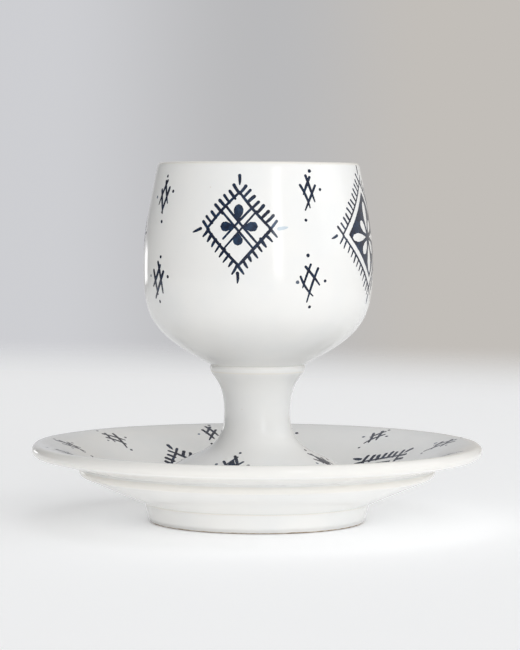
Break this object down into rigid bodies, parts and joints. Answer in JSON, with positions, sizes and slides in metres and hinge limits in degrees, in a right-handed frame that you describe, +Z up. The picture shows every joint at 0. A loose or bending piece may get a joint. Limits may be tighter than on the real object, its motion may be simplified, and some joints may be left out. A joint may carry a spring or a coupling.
{
  "type": "kiddush cup with saucer",
  "caption": "Stemmed cup of white glazed pottery with a tulip bowl and a flared hollow foot, standing loose in the well of a matching footed saucer; it holds wine for a blessing.",
  "frame": {"origin": "on the table, under the middle of the saucer's foot ring", "axes": "+Z up along the axis that every piece is turned about; -Y faces the viewer of the picture and +X is to the viewer's right"},
  "size_m": [0.142, 0.142, 0.1128],
  "materials": {
    "white_glaze": "shiny white glaze over pale clay",
    "foot_glaze": "white glaze wiped back to bare tan clay where it stands",
    "brush_pigment": "dark blue-black brushwork under the shiny glaze"
  },
  "bodies": {
    "saucer": {"saucer_dish": "white_glaze", "saucer_foot_ring": "foot_glaze"},
    "cup": {"cup_bowl": "white_glaze", "joint_collar": "white_glaze", "cup_stem": "white_glaze"}
  },
  "joints": [
    {"name": "cup_lift", "type": "slide", "parent": "saucer", "child": "cup", "axis": [0, 0, 1], "range_m": [0, 0.15]}
  ]
}
